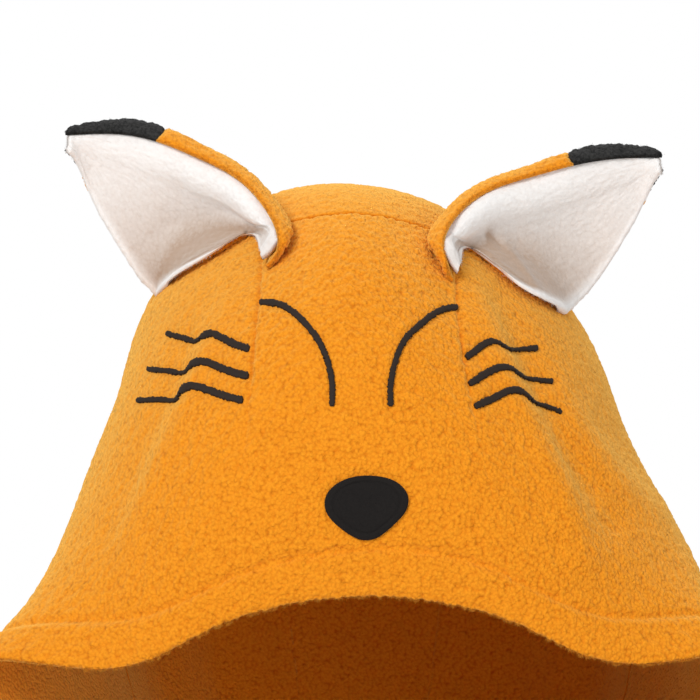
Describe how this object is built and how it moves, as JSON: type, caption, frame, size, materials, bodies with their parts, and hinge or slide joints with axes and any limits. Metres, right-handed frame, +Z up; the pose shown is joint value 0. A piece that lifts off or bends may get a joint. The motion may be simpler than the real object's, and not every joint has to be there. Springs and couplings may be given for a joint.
{
  "type": "fox onesie",
  "caption": "Orange fleece one-piece with a fox-face hood, cupped white-lined ears with black tips, a buttoned front, long sleeves and legs with cuffs.",
  "frame": {"origin": "between the shoulders at the base of the neck, where the wearer carries the garment", "axes": "+Z up, the wearer faces -Y, and the wearer's left is at +X"},
  "size_m": [0.7396, 0.389, 1.6175],
  "materials": {
    "orange_fleece": "napped, matt",
    "black_fleece": "napped, matt",
    "white_plush": "short plush, matt",
    "black_felt": "matt twill",
    "dark_thread": "slight silk sheen",
    "button": "glossy"
  },
  "bodies": {
    "root": {"hood_face": "orange_fleece", "hood_crown": "orange_fleece", "hood_cheek_left": "orange_fleece", "hood_side_left": "orange_fleece", "hood_cheek_right": "orange_fleece", "hood_side_right": "orange_fleece", "ear_left_back": "orange_fleece", "ear_left_tip": "black_fleece", "ear_left_lining": "white_plush", "ear_right_back": "orange_fleece", "ear_right_tip": "black_fleece", "ear_right_lining": "white_plush", "eye_left": "dark_thread", "whisker_left_1": "dark_thread", "whisker_left_2": "dark_thread", "whisker_left_3": "dark_thread", "eye_right": "dark_thread", "whisker_right_1": "dark_thread", "whisker_right_2": "dark_thread", "whisker_right_3": "dark_thread", "nose": "black_felt", "front_left": "orange_fleece", "back_left": "orange_fleece", "sleeve_left": "orange_fleece", "cuff_wrist_left": "orange_fleece", "cuff_ankle_left": "orange_fleece", "front_right": "orange_fleece", "back_right": "orange_fleece", "sleeve_right": "orange_fleece", "cuff_wrist_right": "orange_fleece", "cuff_ankle_right": "orange_fleece", "placket": "orange_fleece", "button_1": "button", "button_2": "button", "button_3": "button", "button_4": "button", "button_5": "button"}
  },
  "joints": []
}
